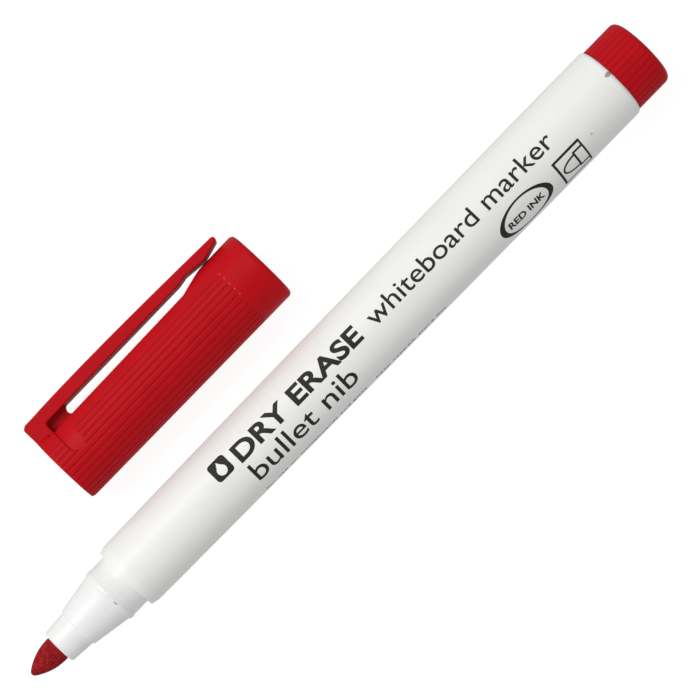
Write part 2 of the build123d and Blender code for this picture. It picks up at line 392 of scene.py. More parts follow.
class Finish(Tree):
    """A material on a Principled shader. Its patterns read the place on the piece, in millimetres."""

    def __init__(self, name, place, **constants):
        self.material = bpy.data.materials.new(name)
        self.material.use_nodes = True
        super().__init__(self.material.node_tree)
        self.tree.nodes.clear()
        self.shader = self.node("ShaderNodeBsdfPrincipled",
                                values={key.replace("_", " "): value for key, value in constants.items()})
        self.node("ShaderNodeOutputMaterial", values={"Surface": self.shader.outputs[0]})
        self.point = self.local_point(place)
        parts = self.node("ShaderNodeSeparateXYZ", values={0: self.point}).outputs
        self.along, self.across, self.up = (Value(self, part) for part in parts)

    def local_point(self, place):
        """Object coordinates turned into the millimetres of the piece's own drawing."""
        back = place.inverted()
        settings = {
            "Vector": self.node("ShaderNodeTexCoord").outputs["Object"],
            "Location": back.to_translation(),
            "Rotation": back.to_euler(),
            "Scale": back.to_scale(),
        }
        return self.node("ShaderNodeMapping", {"vector_type": "POINT"}, settings).outputs[0]

    def attribute(self, name):
        return Value(self, self.node("ShaderNodeAttribute", {"attribute_name": name}).outputs["Fac"])

    def around(self):
        """Angle round the axis, in radians."""
        return self.maths("ARCTAN2", self.across, self.up)

    def mix(self, factor, first, second):
        node = self.node("ShaderNodeMix", {"data_type": "RGBA"}, {0: factor, 6: first, 7: second})
        return node.outputs[2]

    def ramp(self, factor, stops):
        return self.node("ShaderNodeValToRGB", {"stops": stops}, {0: factor}).outputs[0]

    def specks(self, scale, size, share):
        """Small round spots: 1 inside a spot, on only a share of the cells."""
        cells = self.node("ShaderNodeTexVoronoi", {"voronoi_dimensions": "4D"},
                          {"Vector": self.point, "W": 0.0, "Scale": scale})
        parts = self.node("ShaderNodeSeparateColor", values={0: cells.outputs["Color"]})
        chance = Value(self, parts.outputs[0])
        return (chance < share) * (1 - self.smooth(Value(self, cells.outputs["Distance"]), size * 0.5, size))

    def mark(self, along, across, size):
        """One speck of dirt, 1 in its middle, on the side of the piece that faces up."""
        aside = ((self.along - along) ** 2.0 * 0.4 + (self.across - across) ** 2.0) ** 0.5
        ragged = 0.25 * self.noise(self.point, 7.0, 3.0)
        return (1 - self.smooth(aside + ragged, size * 0.7, size)) * (self.up > 0.0)

    def scratches(self, scale, stretch, threshold):
        """Fine streaks that run across the axis."""
        streaks = self.noise(self.scaled(self.point, stretch), scale, 4.0, 0.65)
        return self.smooth(streaks, threshold, threshold + 0.05)

    def done(self, colour, roughness, height=None, depth=0.0):
        """Feeds the shader its patterns and returns the material. The relief is depth millimetres high."""
        feeds = {"Base Color": colour, "Roughness": roughness}
        if height is not None:
            values = {"Strength": 1.0, "Distance": depth * MM, "Height": height}
            feeds["Normal"] = self.node("ShaderNodeBump", values=values).outputs[0]
        for socket, value in feeds.items():
            source = value.socket if isinstance(value, Value) else value
            self.tree.links.new(source, self.shader.inputs[socket])
        return self.material


class Shaping(Tree):
    """A geometry node tree with named inputs, which ends in Realize Instances and Set Material."""

    def __init__(self, name, material, **defaults):
        super().__init__(bpy.data.node_groups.new(name, "GeometryNodeTree"))
        self.material = material
        self.defaults = {}
        faces = self.tree.interface
        faces.new_socket("Geometry", in_out="INPUT", socket_type="NodeSocketGeometry")
        for key, default in defaults.items():
            kind = "NodeSocketInt" if isinstance(default, int) else "NodeSocketFloat"
            socket = faces.new_socket(key.replace("_", " "), in_out="INPUT", socket_type=kind)
            self.defaults[socket.identifier] = default
        faces.new_socket("Geometry", in_out="OUTPUT", socket_type="NodeSocketGeometry")
        outputs = self.tree.nodes.new("NodeGroupInput").outputs
        self.source = outputs["Geometry"]
        self.inputs = [Value(self, outputs[key.replace("_", " ")]) for key in defaults]

    def named(self, name, kind="FLOAT"):
        node = self.node("GeometryNodeInputNamedAttribute", {"data_type": kind}, {"Name": name})
        output = node.outputs["Attribute"]
        return Value(self, output) if kind == "FLOAT" else output

    def index(self):
        return Value(self, self.node("GeometryNodeInputIndex").outputs[0])

    def moved(self, geometry, offset):
        node = self.node("GeometryNodeSetPosition", values={"Geometry": geometry, "Offset": offset})
        return node.outputs[0]

    def stored(self, geometry, name, value):
        return self.node("GeometryNodeStoreNamedAttribute", {"data_type": "FLOAT", "domain": "POINT"},
                         {"Geometry": geometry, "Name": name, "Value": value}).outputs[0]

    def set_round(self, count, shape, along, out, turn, rotation, scale):
        """Copies of a shape round the axis, each at its own place along it, distance out and turn."""
        position = self.vector(along, out * self.cosine(turn), out * self.sine(turn))
        spots = self.node("GeometryNodePoints", values={"Count": count, "Position": position}).outputs[0]
        values = {"Points": spots, "Instance": shape.outputs["Mesh"], "Rotation": rotation, "Scale": scale}
        return self.finished(self.node("GeometryNodeInstanceOnPoints", values=values).outputs[0])

    def finished(self, geometry):
        whole = self.node("GeometryNodeRealizeInstances", values={0: geometry}).outputs[0]
        surfaced = self.node("GeometryNodeSetMaterial", values={"Geometry": whole, "Material": self.material})
        self.node("NodeGroupOutput", values={0: surfaced.outputs[0]})
        return self

    def applied(self, piece):
        """Runs the tree on a piece and turns the result into its plain mesh."""
        modifier = piece.modifiers.new(self.tree.name, "NODES")
        modifier.node_group = self.tree
        for identifier, default in self.defaults.items():
            modifier[identifier] = default
        mesh = plain_mesh(piece)
        piece.modifiers.remove(modifier)
        piece.data = mesh


# ---------------------------------------------------------------------------------------------
# Outlines and meshes


def plain_mesh(item):
    """The mesh of an object with its modifiers applied, or of a curve."""
    graph = bpy.context.evaluated_depsgraph_get()
    return bpy.data.meshes.new_from_object(item.evaluated_get(graph), depsgraph=graph)


def arc(centre, radius, first, last, steps=6):
    """Points on a circle between two angles, in degrees."""
    angles = [radians(first + (last - first) * i / steps) for i in range(steps + 1)]
    return [(centre[0] + radius * cos(a), centre[1] + radius * sin(a)) for a in angles]


def through(first, middle, last, steps=6):
    """Points on a gentle curve through three points, each end included."""
    shares = [i / steps for i in range(steps + 1)]
    return [tuple((1 - s) * (1 - 2 * s) * a + 4 * s * (1 - s) * b + s * (2 * s - 1) * c
                  for a, b, c in zip(first, middle, last)) for s in shares]


def rounded(corners, closed, hold=0.05, steps=5):
    """Outline from (x, y, round) corners, with an arc at each round and a holding point beside it."""
    outline = []
    count = len(corners)
    for i, corner in enumerate(corners):
        here = Vector(corner[:2])
        size = corner[2] if len(corner) > 2 else 0
        at_end = not closed and i in (0, count - 1)
        if at_end or size == 0:
            outline.append(tuple(here))
            continue
        back = Vector(corners[i - 1][:2]) - here
        ahead = Vector(corners[(i + 1) % count][:2]) - here
        before, after = back.normalized(), ahead.normalized()
        half = before.angle(after) / 2
        run = size / (sin(half) / cos(half))
        middle = here + (before + after).normalized() * (size / sin(half))
        start, end = here + before * run - middle, here + after * run - middle
        turn = start.angle(end)
        if run + 2 * hold < back.length / 2:
            outline.append(tuple(here + before * (run + hold)))
        for k in range(steps + 1):
            s = k / steps
            outline.append(tuple(middle + (start * sin((1 - s) * turn) + end * sin(s * turn)) / sin(turn)))
        if run + 2 * hold < ahead.length / 2:
            outline.append(tuple(here + after * (run + hold)))
    return outline


def smoothstep(low, high, value):
    share = min(1.0, max(0.0, (value - low) / (high - low)))
    return share * share * (3 - 2 * share)


def soft_lowest(first, second, blend):
    """The lower of two heights, with a small round where they cross."""
    near = max(0.0, blend - abs(first - second)) / blend
    return min(first, second) - near * near * blend / 4


def lerp(pair, share):
    return pair[0] + (pair[1] - pair[0]) * share


def new_piece(name, mesh, material, sharp=32):
    """Object at the origin with smooth faces and sharp edges where the surface turns."""
    piece = bpy.data.objects.new(name, mesh)
    bpy.context.scene.collection.objects.link(piece)
    if material is not None:
        mesh.materials.clear()
        mesh.materials.append(material)
    smooth_faces(mesh, sharp)
    return piece


def smooth_faces(mesh, sharp):
    mesh.polygons.foreach_set("use_smooth", [True] * len(mesh.polygons))
    mesh.set_sharp_from_angle(angle=radians(sharp))
    mesh.update()


def mesh_from(name, points, faces, place):
    """Mesh with outward faces, from points in millimetres."""
    mesh = bpy.data.meshes.new(name)
    mesh.from_pydata([place @ Vector(point) for point in points], [], faces)
    edit = bmesh.new()
    edit.from_mesh(mesh)
    bmesh.ops.recalc_face_normals(edit, faces=edit.faces)
    edit.to_mesh(mesh)
    edit.free()
    return mesh


def swept_mesh(name, rings, place, closed):
    """Mesh from rings of points, each as long as the next. A ring of one point is a pole."""
    points = [point for ring in rings for point in ring]
    starts = [0]
    for ring in rings:
        starts.append(starts[-1] + len(ring))
    faces = []
    pairs = list(zip(range(len(rings)), range(1, len(rings))))
    if closed:
        pairs.append((len(rings) - 1, 0))
    for a, b in pairs:
        count = max(len(rings[a]), len(rings[b]))
        for k in range(count):
            ahead = (k + 1) % count
            if len(rings[a]) == 1:
                faces.append((starts[a], starts[b] + ahead, starts[b] + k))
            elif len(rings[b]) == 1:
                faces.append((starts[a] + k, starts[a] + ahead, starts[b]))
            else:
                faces.append((starts[a] + k, starts[a] + ahead, starts[b] + ahead, starts[b] + k))
    return mesh_from(name, points, faces, place)


def lathe(name, outline, place, material, closed, around=160, sharp=32):
    """Piece turned about its axis from an outline of (along, radius) points."""
    rings = []
    for x, radius in outline:
        if radius < 1e-6:
            rings.append([(x, 0, 0)])
        else:
            rings.append([(x, radius * cos(2 * pi * k / around), radius * sin(2 * pi * k / around))
                          for k in range(around)])
    return new_piece(name, swept_mesh(name, rings, place, closed), material, sharp)


def slab(name, outline, half_width, edge, place, material):
    """Flat piece with rounded edges, from an outline in the plane of the cap's axis and clip."""
    count = len(outline)
    inward = []
    for i in range(count):
        before = (Vector(outline[i]) - Vector(outline[i - 1])).normalized()
        after = (Vector(outline[(i + 1) % count]) - Vector(outline[i])).normalized()
        normal = Vector((-before.y - after.y, before.x + after.x))
        inward.append(normal / max(0.5, normal.length_squared / 2))
    corner = [radians(a) for a in (0, 22.5, 45, 67.5, 90)]
    layers = [(edge * 1.5, half_width)]
    layers += [(edge * (1 - sin(a)), half_width - edge * (1 - cos(a))) for a in corner]
    layers += [(0, half_width - edge - 0.05), (0, 0)]
    layers += [(inset, -height) for inset, height in reversed(layers[:-1])]
    points = [(*(Vector(p) + n * inset), height) for inset, height in layers for p, n in zip(outline, inward)]
    faces = [tuple(range(count)), tuple(range((len(layers) - 1) * count, len(layers) * count))]
    for layer in range(len(layers) - 1):
        for k in range(count):
            ahead = (k + 1) % count
            first, second = layer * count, (layer + 1) * count
            faces.append((first + k, first + ahead, second + ahead, second + k))
    return new_piece(name, mesh_from(name, points, faces, place), material)


def give(piece, body, slot, *nodes):
    """Rides a piece on its body and hides the CAD nodes that it replaces."""
    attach(piece, body)
    if nodes:
        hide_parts(*nodes)
    return piece


# ---------------------------------------------------------------------------------------------
# Materials


def white_barrel(colours):
    """Satin white polypropylene with faint flow marks, handling smudges, a few specks and painted red bounce
    light at its rear edge.
    """
    f = Finish("barrel_white", pen_place(), IOR=1.49, Specular_IOR_Level=0.35)
    flow = f.noise(f.scaled(f.point, (0.35, 1.0, 1.0)), 0.25, 3.0)
    smudge = f.noise(f.point, 0.9, 4.0, 0.6)
    base = Vector(colours.barrel)
    tone = f.mix(f.smooth(flow, 0.35, 0.7), tuple(base), tuple(base * 0.975))
    tone = f.mix(0.35 * f.smooth(smudge, 0.58, 0.75), tone, tuple(Vector((0.98, 0.955, 0.93)) * 0.8))
    # Painted reflected light: pink at the rear edge, where light from the red plug falls on the white.
    painted_red_bounce = f.smooth(f.along, barrel_rear - 0.45, barrel_rear - 0.05)
    tone = f.mix(0.5 * painted_red_bounce, tone, (0.86, 0.60, 0.60))
    dirt = f.highest(f.specks(0.35, 0.06, 0.10), f.mark(barrel_rear - 0.55, 0.80, 0.56))
    dirt = f.highest(dirt, 0.5 * f.mark(barrel_rear - 8.1, -3.4, 0.34))
    scuffs = f.scratches(0.9, (5.0, 0.7, 0.7), 0.66)
    grain = f.noise(f.point, 6.0, 2.0)
    return f.done(f.mix(dirt * 0.75, tone, (0.15, 0.13, 0.11)),
                  0.30 + 0.10 * smudge + 0.12 * scuffs + 0.2 * dirt,
                  0.5 * grain + 0.35 * flow - 0.4 * scuffs, 0.006)


def white_nose(colours):
    """Cooler white moulding, smudged with ink near the nib and dashed with ink on its bead."""
    f = Finish("nose_white", pen_place(), IOR=1.49, Specular_IOR_Level=0.4)
    cloud = f.noise(f.point, 0.8, 3.0)
    base = Vector(colours.holder)
    tone = f.mix(f.smooth(cloud, 0.3, 0.75), tuple(base), tuple(base * 0.965))
    blot = f.noise(f.scaled(f.point, (0.7, 1.0, 1.0)), 1.5, 5.0, 0.65)
    near_nib = 1 - f.smooth(f.along, sleeve_front + 0.1, sleeve_front + 1.6)
    stain = f.lowest(near_nib * f.smooth(blot, 0.48, 0.66), 1.0)
    tone = f.mix(0.22 * stain, tone, (0.80, 0.45, 0.43))
    on_bead = f.between(f.along, bead_span[0] + 0.42, bead_span[0] + 0.62, 0.10)
    side = f.around() * (180 / pi)
    pale_dash = f.between(side, -7.0, 1.0, 1.5) * f.smooth(blot, 0.42, 0.55)
    dark_dash = f.between(side, -24.0, -16.0, 1.5)
    tone = f.mix(on_bead * pale_dash * 0.5, tone, (0.80, 0.32, 0.30))
    tone = f.mix(on_bead * dark_dash * 0.8, tone, (0.42, 0.16, 0.15))
    return f.done(tone, 0.28 + 0.10 * cloud, f.noise(f.point, 5.0, 2.0), 0.004)


def red_moulding(colours, name, place):
    """Satin red plastic with painted shade in its grooves and painted highlights at their ends, with dust and
    handling marks.
    """
    f = Finish(name, place, IOR=1.49, Specular_IOR_Level=0.09)
    cloud = f.noise(f.scaled(f.point, (0.4, 1.0, 1.0)), 0.55, 3.0)
    valley = f.attribute("valley")
    base = Vector(colours.red)
    tone = f.mix(f.smooth(cloud, 0.3, 0.75), tuple(base), tuple(base * 0.92))
    # Painted shade: the floor of each groove is darkened where shade falls in it.
    tone = f.mix(0.55 * valley, tone, tuple(base * 0.66))
    # Painted highlight: a pale glint at the end of each groove.
    tone = f.mix(0.38 * f.attribute("glint"), tone, (0.86, 0.28, 0.24))
    dust = f.specks(1.5, 0.11, 0.035)
    tone = f.mix(dust * 0.5, tone, (0.75, 0.45, 0.42))
    scuffs = f.scratches(1.1, (4.0, 0.8, 0.8), 0.64)
    return f.done(tone, 0.42 + 0.10 * cloud + 0.12 * valley + 0.08 * scuffs + 0.15 * dust,
                  0.6 * f.noise(f.point, 4.0, 2.0) - 0.3 * scuffs, 0.006)


def soaked_felt(colours):
    """Sintered fibre soaked with ink: dark mottling, paler tips of fibres and a coarse grain."""
    f = Finish("nib_felt", pen_place(), IOR=1.4, Specular_IOR_Level=0.12)
    strands = f.noise(f.scaled(f.point, (0.35, 1.0, 1.0)), 5.0, 4.0, 0.7)
    blotch = f.noise(f.point, 1.1, 3.0, 0.6)
    base = Vector(colours.felt)
    tone = f.ramp(strands, [(0.25, tuple(base * 0.35)), (0.5, tuple(base)), (0.72, (0.46, 0.045, 0.05))])
    tone = f.mix(0.55 * f.smooth(blotch, 0.35, 0.65), tone, tuple(base * 0.62))
    return f.done(tone, 0.55 + 0.3 * strands, strands, 0.05)


def ink_strands(colours):
    """Fine strands of the reservoir, wet with ink."""
    f = Finish("ink_strands", pen_place(), IOR=1.4, Specular_IOR_Level=0.4)
    streak = f.noise(f.scaled(f.point, (0.2, 1.0, 1.0)), 4.0, 3.0)
    base = Vector(colours.felt)
    return f.done(f.mix(streak, tuple(base * 0.6), tuple(base * 1.5)), 0.35 + 0.2 * streak, streak, 0.03)


def clear_film():
    """Thin wrap round the reservoir, stained by the ink behind it."""
    f = Finish("clear_film", pen_place(), IOR=1.5, Alpha=0.6)
    stain = f.noise(f.point, 0.6, 4.0)
    tone = f.mix(f.smooth(stain, 0.35, 0.7), (0.85, 0.86, 0.87), (0.80, 0.42, 0.42))
    return f.done(tone, 0.15 + 0.2 * stain, stain, 0.02)


def natural_liner(colours):
    """Natural polyethylene, faintly stained with ink towards its mouth."""
    f = Finish("natural_liner", cap_place(), IOR=1.5, Specular_IOR_Level=0.4)
    stain = f.noise(f.point, 0.9, 4.0)
    base = tuple(colours.liner)
    mouth = f.smooth(f.along, liner_span[1] - 5, liner_span[1])
    tone = f.mix(0.6 * mouth * f.smooth(stain, 0.4, 0.7), base, (0.66, 0.2, 0.19))
    return f.done(tone, 0.42 + 0.15 * stain, stain, 0.01)


def print_ink(colours):
    """Warm black pad print, a little thin in places."""
    f = Finish("print_ink", pen_place(), IOR=1.48, Specular_IOR_Level=0.2)
    thin = f.noise(f.point, 5.0, 4.0, 0.7)
    base = Vector(colours.ink)
    tone = f.mix(f.smooth(thin, 0.5, 0.8), tuple(base), tuple(base * 2.2))
    return f.done(tone, 0.42 + 0.2 * thin, thin, 0.004)


def pale_floor():
    """White ground that glows a little, so that it stays even and nearly free of shadow."""
    f = Finish("pale_floor", Matrix.Scale(MM, 4), Specular_IOR_Level=0.0,
               Emission_Color=(1.0, 1.0, 1.0), Emission_Strength=0.88)
    cloud = f.noise(f.point, 0.01, 2.0)
    return f.done(f.mix(cloud, (0.22, 0.22, 0.22), (0.24, 0.24, 0.24)), 0.8 + 0.1 * cloud)


# ---------------------------------------------------------------------------------------------
# Geometry node trees


def groove_tree(material, depth, width, pitch, first, last, end):
    """Presses round-bottomed grooves into a turned surface, with an eased end."""
    g = Shaping("grip_grooves", material, Depth=depth, Width=width, Pitch=pitch, First_angle=first,
                Last_angle=last, End=end)
    depth, width, pitch, first, last, end = g.inputs
    around, along, reach, skin = (g.named(name) for name in ("around", "along", "reach", "skin"))
    gap = abs((around - first + pitch / 2) % pitch - pitch / 2)
    aside = gap * (pi / 180) * skin / (width / 2)
    inside = (around > first - pitch / 2) * (around < last + pitch / 2)
    fade = 1 - g.smooth(along, end - 0.45, end + 0.15)
    valley = (0.5 + 0.5 * g.cosine(pi * g.lowest(aside, 1.0))) * inside * fade
    # glint: a painted highlight at the end of each groove, only on the side of the cap towards the clip.
    from_clip = g.lowest(around, 360 - around)
    ends = g.between(along, end - 0.15, end, 0.12) * inside
    glint = ends * g.smooth(1 - aside, 0.55, 0.8) * (1 - g.smooth(from_clip, 96.0, 114.0))
    drop = g.highest(reach - skin + valley * depth, 0.0)
    inward = -1 * drop * MM
    offset = g.scaled(g.named("outward", "FLOAT_VECTOR"), g.vector(inward, inward, inward))
    # valley is kept on the mesh for the material, which paints shade into the grooves with it.
    shaped = g.stored(g.moved(g.source, offset), "valley", g.lowest(valley, drop / depth))
    return g.finished(g.stored(shaped, "glint", glint))


def grain_tree(material, amount, seed):
    """Roughens a surface with fibres that run along the pen."""
    g = Shaping("felt_grain", material, Amount=amount, Seed=seed)
    amount, seed = g.inputs
    place = g.node("GeometryNodeInputPosition").outputs[0]
    fibre = g.noise(g.scaled(place, (500.0, 1400.0, 1400.0)), 1.0, 4.0, 0.65, "4D", W=seed)
    blotch = g.noise(g.scaled(place, (900.0, 900.0, 900.0)), 1.0, 2.0, 0.5, "4D", W=seed + 5.0)
    bare = 1 - g.smooth(g.named("along"), sleeve_front - 0.35, sleeve_front - 0.05)
    lift = ((fibre - 0.62) * amount * 1.3 + (blotch - 0.6) * amount * 0.7) * bare
    normal = g.node("GeometryNodeInputNormal").outputs[0]
    return g.finished(g.moved(g.source, g.scaled(normal, g.vector(lift, lift, lift))))


def strand_tree(material, count, front, rear, radius, pocket_radius, pocket_rear, seed):
    """A bundle of parallel strands that leaves a pocket for the nib's rear end."""
    g = Shaping("reservoir_strands", material, Strands=count, Front=front, Rear=rear, Radius=radius,
                Pocket_radius=pocket_radius, Pocket_rear=pocket_rear, Seed=seed)
    count, front, rear, radius, pocket_radius, pocket_rear, seed = g.inputs
    order = g.index() + 0.5
    size = radius / count ** 0.5
    out = (radius - size) * (order / count) ** 0.5
    turn = order * radians(golden_angle)
    short = abs(Value(g, g.node("FunctionNodeRandomValue", {"data_type": "FLOAT"},
                                {"Min": -0.25, "Max": 0.25, "Seed": seed}).outputs[1]))
    start = front + (out < pocket_radius + size) * (pocket_rear - front)
    length = rear - start - short
    rod = g.node("GeometryNodeMeshCylinder", {"fill_type": "NGON"},
                 {"Vertices": 8, "Radius": 1.0, "Depth": 1.0})
    return g.set_round(count, rod, start + short * 0.5 + length / 2, out, turn, (0, pi / 2, 0),
                       g.vector(size * 0.98, size * 0.98, length))


def rib_tree(material, count, first, width, inner, outer, front, rear):
    """Straight ribs along an axis, spaced evenly round it."""
    g = Shaping("guide_ribs", material, Ribs=count, First_angle=first, Width=width, Inner=inner,
                Outer=outer, Front=front, Rear=rear)
    count, first, width, inner, outer, front, rear = g.inputs
    turn = (first + g.index() * 360.0 / count) * (pi / 180)
    bar = g.node("GeometryNodeMeshCube", values={"Size": (1.0, 1.0, 1.0)})
    return g.set_round(count, bar, (front + rear) / 2, (inner + outer) / 2, turn, g.vector(turn, 0.0, 0.0),
                       g.vector(rear - front, outer - inner, width))


def grown(name, tree, place, sharp=32):
    """Piece made wholly by a tree that works in millimetres, then placed."""
    piece = new_piece(name, bpy.data.meshes.new(name), None, sharp)
    tree.applied(piece)
    piece.data.transform(place)
    smooth_faces(piece.data, sharp)
    return piece


# ---------------------------------------------------------------------------------------------
# Ribbed pieces


def store(mesh, name, kind, values):
    attribute = mesh.attributes.new(name, kind, "POINT")
    attribute.data.foreach_set("vector" if kind == "FLOAT_VECTOR" else "value", values)


def ribbed(name, rings, skins, place, material, depth, width, first, last, end):
    """Turned piece whose outer rings get grooves. A ring holds (x, radius, angle) and a skin its radius."""
    points = [[(x, r * cos(radians(a)), r * sin(radians(a))) for x, r, a in ring] for ring in rings]
    piece = new_piece(name, swept_mesh(name, points, place, False), material)
    flat = [(x, r, a, skin) for ring, skin in zip(rings, skins) for x, r, a in ring]
    for label, column in zip(("along", "reach", "around", "skin"), zip(*flat)):
        store(piece.data, label, "FLOAT", column)
    turn = place.to_3x3().normalized()
    outward = [turn @ Vector((0, cos(radians(a)), sin(radians(a)))) for x, r, a, skin in flat]
    store(piece.data, "outward", "FLOAT_VECTOR", [c for vector in outward for c in vector])
    groove_tree(material, depth / MM, width / MM, groove_pitch, first, last, end).applied(piece)
    smooth_faces(piece.data, 34)
    return piece


# A skin radius that no groove reaches
INSIDE = 99.0


def plug_rings():
    """The plug's outline as rings, with the radius that its grooves are cut from."""
    outer = rounded([
        (plug_head, spigot_radius), (plug_head, plug_radius, 0.04),
        (pen_length, plug_radius, plug_round), (pen_length, 0),
    ], False, steps=10)
    outer = spread(outer, 0.6)
    spigot = rounded([
        (plug_head, spigot_radius), (plug_front + 0.6, spigot_radius), (plug_front, spigot_radius - 0.3),
        (plug_front, spigot_bore), (pen_length - plug_end_wall, spigot_bore, 0.4),
        (pen_length - plug_end_wall, 0),
    ], False)
    angles = [k * groove_pitch / groove_cuts for k in range(groove_cuts * grooves_round)]
    rings, skins = [], []
    for x, r in [*reversed(outer), *spigot[1:]]:
        grooved = (x, r) in outer and r > spigot_radius - 1.5
        rings.append([(x, r, a) for a in angles] if r > 1e-6 else [(x, 0, 0)])
        skins.append(plug_radius if grooved else INSIDE)
    return rings, skins


def spread(outline, longest):
    """Adds points to runs that are too long, at even steps."""
    result = [outline[0]]
    for a, b in zip(outline, outline[1:]):
        steps = max(1, int(hypot(b[0] - a[0], b[1] - a[1]) / longest + 0.5))
        result += [(a[0] + (b[0] - a[0]) * k / steps, a[1] + (b[1] - a[1]) * k / steps)
                   for k in range(1, steps + 1)]
    return result


def cap_cone(u):
    return lerp(cap_radii, u / cap_length)


def flat_height(u):
    """Height of the flat under the clip, which ramps up to the cap's wall near the mouth."""
    if u < flat_span[1]:
        return lerp(flat_heights, (u - flat_span[0]) / (flat_span[1] - flat_span[0]))
    return lerp((flat_heights[1], cap_radii[1] + 0.05), (u - flat_span[1]) / (flat_ramp_end - flat_span[1]))


def flat_edge(u):
    """Angle from the clip to the edge of the flat, in degrees."""
    held = min(max(u, flat_span[0]), flat_ramp_end)
    share = min(1.0, flat_height(held) / cap_cone(held))
    return max(degrees(acos(share)), 2.0)


def cap_wall(u, angle):
    """Radius of the cap's outside, with the flat and the moulding recesses beside the root."""
    aside = min(angle, 360 - angle)
    radius = cap_cone(u)
    if flat_span[0] + 0.01 < u < flat_ramp_end and aside < 70:
        radius = soft_lowest(radius, flat_height(u) / cos(radians(aside)), 0.06)
    height = radius * cos(radians(aside))
    middle, half = (recess_span[0] + recess_span[1]) / 2, (recess_span[1] - recess_span[0]) / 2
    low_middle = recess_low + half
    if height > low_middle:
        inside = half - abs(u - middle)
    else:
        inside = half - hypot(u - middle, height - low_middle)
    depth = lerp(recess_depths, (u - recess_span[0]) / (recess_span[1] - recess_span[0]))
    cut = cap_cone(u) - max(depth, 0.0)
    return radius + (min(cut, radius) - radius) * smoothstep(-0.05, 0.05, inside)


def cap_angles(u):
    """Angles round the cap, closer at the flat's edge, one side then the other."""
    edge = flat_edge(u)
    start = first_cap_groove - groove_pitch / 2
    near = [edge * k / 12 for k in range(12)]
    near += [edge - 1.4 + 0.7 * k for k in range(5)] if edge > 8 else [edge + 0.35 * k for k in range(5)]
    top = max(near) + 0.5
    near = sorted(near) + [top + (start - top) * k / 12 for k in range(12)]
    cuts = int((last_cap_groove - first_cap_groove) / groove_pitch + 1) * groove_cuts
    grooved = [start + k * groove_pitch / groove_cuts for k in range(cuts + 1)]
    mirrored = [360 - a for a in reversed(near) if a > 0]
    return [*near, *grooved, *mirrored]


def cap_rings():
    """The cap's outline as rings: closed end, wall, mouth and stepped bore."""
    stations = [0.62, 0.9, 1.4, 1.9, 1.98, 2.03, 2.2, 2.5, 2.74]
    stations += [2.78 + 0.07 * k for k in range(41)]
    stations += [5.8, 6.4, 7.2, *[8 + 1.0 * k for k in range(21)], 28.9, 29.3, 29.5, 29.9]
    stations += [30.4 + 0.4 * k for k in range(10)] + [34.2 + 0.1 * k for k in range(13)]
    stations += [36.0, 37.0, 38.0, 39.0, 39.6]
    rings, skins = [], []

    def add(u, radius, skin):
        rings.append([(u, radius, a) for a in cap_angles(u)] if radius > 1e-6 else [(u, 0, 0)])
        skins.append(skin)

    bevel, drop = cap_bevel
    front = rounded([(0, 0), (0, cap_radii[0] - drop, 0.07), (bevel, cap_cone(bevel), 0.12),
                     (2.0, cap_cone(2.0))], False, 0.04, 4)
    for u, radius in front[:-1]:
        add(u, radius, cap_cone(u))
    for u in stations:
        rings.append([(u, cap_wall(u, a), a) for a in cap_angles(u)])
        skins.append(cap_cone(u))
    room, room_radius = cone_room
    groove_front, groove_rear, groove_radius = snap_groove
    bore = rounded([
        (39.6, cap_cone(39.6)), (cap_length, cap_radii[1], cap_mouth_round),
        (cap_length, land_radius + mouth_chamfer + 0.02, 0.12), (cap_length - mouth_chamfer, land_radius),
        (groove_rear + 0.1, land_radius), (groove_rear, groove_radius), (groove_front, groove_radius),
        (groove_front, room_radius), (room, room_radius), (cap_bore_rear, cap_bore), (cap_shoulder, cap_bore),
        (cap_shoulder, cap_void_radius), (cap_end_wall, cap_void_radius, 0.3), (cap_end_wall, 0),
    ], False, 0.04, 5)
    for u, radius in bore[1:]:
        add(u, radius, INSIDE)
    return rings, skins


def clip_outline():
    """Side view of the clip and its root, from the root's foot round to the heel and back."""
    tip_middle = (clip_tip - clip_tip_round - 0.02, clip_tip_height)
    shoulder_point = (1.9, clip_tops[0] + 0.005)
    top = through(shoulder_point, (clip_tip * 0.43, clip_tops[1]),
                  (tip_middle[0] + 0.02, tip_middle[1] + clip_tip_round), 60)
    tip = arc(tip_middle, clip_tip_round, 84, -75.5, 12)
    under = rounded([
        tip[-1], (*clip_heel, 0.9), (*clip_hollow, 1.2), (clip_hollow_front, clip_underside, 0.6),
        (clip_root, clip_underside, 0.55), (clip_root, clip_foot), (0.03, clip_foot),
        (0.03, clip_tops[0] - 0.42, 0.45), (0.62, clip_tops[0], 0.5), shoulder_point,
    ], False, 0.1, 6)
    return [*reversed([*top, *tip, *spread(under, 0.9)[1:-1]])]


# ---------------------------------------------------------------------------------------------
# Print on the barrel


def flat_text(body, weight):
    """Mesh of a line of text in the plane, one unit high."""
    curve = bpy.data.curves.new("line", "FONT")
    curve.body = body
    curve.size = 1.0
    curve.offset = weight
    curve.resolution_u = 6
    return curve_mesh(curve)


def flat_shape(loops):
    """Mesh of a filled shape from closed loops of points; a loop inside another is a hole."""
    curve = bpy.data.curves.new("shape", "CURVE")
    curve.dimensions = "2D"
    curve.fill_mode = "BOTH"
    for loop in loops:
        spline = curve.splines.new("POLY")
        spline.points.add(len(loop) - 1)
        for point, place in zip(spline.points, loop):
            point.co = (place[0], place[1], 0, 1)
        spline.use_cyclic_u = True
    return curve_mesh(curve)


def curve_mesh(curve):
    holder = bpy.data.objects.new("drawing", curve)
    bpy.context.scene.collection.objects.link(holder)
    mesh = plain_mesh(holder)
    bpy.data.objects.remove(holder)
    bpy.data.curves.remove(curve)
    return mesh


def fitted(mesh, x_span, y_span):
    """Stretches a flat mesh to fill a box."""
    low = [min(v.co[i] for v in mesh.vertices) for i in range(2)]
    high = [max(v.co[i] for v in mesh.vertices) for i in range(2)]
    for vertex in mesh.vertices:
        vertex.co.x = lerp(x_span, (vertex.co.x - low[0]) / (high[0] - low[0]))
        vertex.co.y = lerp(y_span, (vertex.co.y - low[1]) / (high[1] - low[1]))
    return mesh


